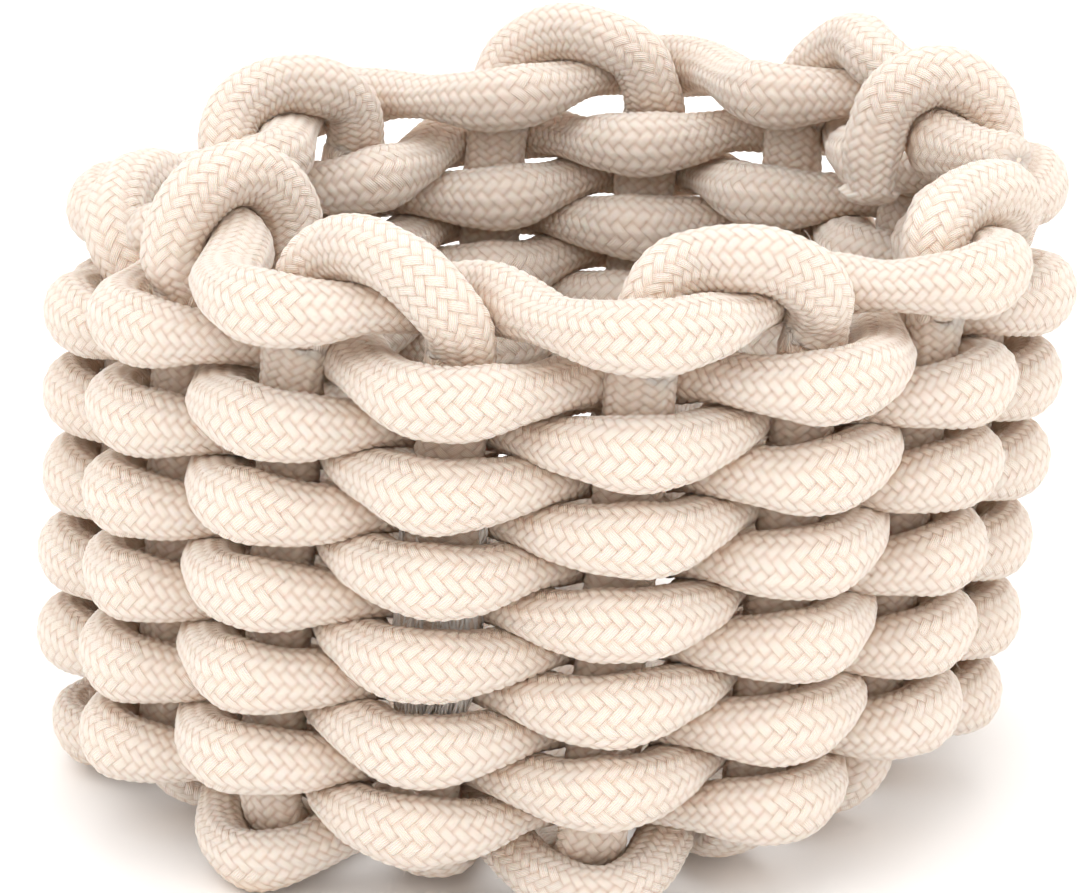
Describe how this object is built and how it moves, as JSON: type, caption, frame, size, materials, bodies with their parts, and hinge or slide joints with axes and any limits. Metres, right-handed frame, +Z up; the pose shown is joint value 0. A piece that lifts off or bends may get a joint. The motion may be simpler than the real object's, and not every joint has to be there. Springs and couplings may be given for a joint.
{
  "type": "woven rope basket",
  "caption": "Round open storage basket hand-woven from thick cream braided cotton rope, with upright stakes, chasing weavers and looped rim ends.",
  "frame": {"origin": "middle of the basket's box in plan, at the surface it stands on", "axes": "+Z up, -Y towards the front with the frayed rope end, +X to the right"},
  "size_m": [0.3055, 0.2983, 0.2135],
  "materials": {
    "cotton_rope": "undyed braided cotton, matt and slightly fuzzy"
  },
  "bodies": {
    "root": {"cross_rope_x_1": "cotton_rope", "cross_rope_x_2": "cotton_rope", "cross_rope_x_3": "cotton_rope", "cross_rope_x_4": "cotton_rope", "cross_rope_y_1": "cotton_rope", "cross_rope_y_2": "cotton_rope", "cross_rope_y_3": "cotton_rope", "cross_rope_y_4": "cotton_rope", "rim_arch_1": "cotton_rope", "rim_arch_2": "cotton_rope", "rim_arch_3": "cotton_rope", "rim_arch_4": "cotton_rope", "rim_arch_5": "cotton_rope", "rim_arch_6": "cotton_rope", "rim_arch_7": "cotton_rope", "rim_fold_left": "cotton_rope", "rim_fold_right": "cotton_rope", "weaver_a_turn_1": "cotton_rope", "weaver_a_turn_2": "cotton_rope", "weaver_a_turn_3": "cotton_rope", "weaver_a_turn_4": "cotton_rope", "weaver_a_turn_5": "cotton_rope", "weaver_a_turn_6": "cotton_rope", "weaver_a_turn_7": "cotton_rope", "weaver_b_turn_1": "cotton_rope", "weaver_b_turn_2": "cotton_rope", "weaver_b_turn_3": "cotton_rope", "weaver_b_turn_4": "cotton_rope", "weaver_b_turn_5": "cotton_rope", "weaver_b_turn_6": "cotton_rope", "weaver_b_turn_7": "cotton_rope"}
  },
  "joints": []
}
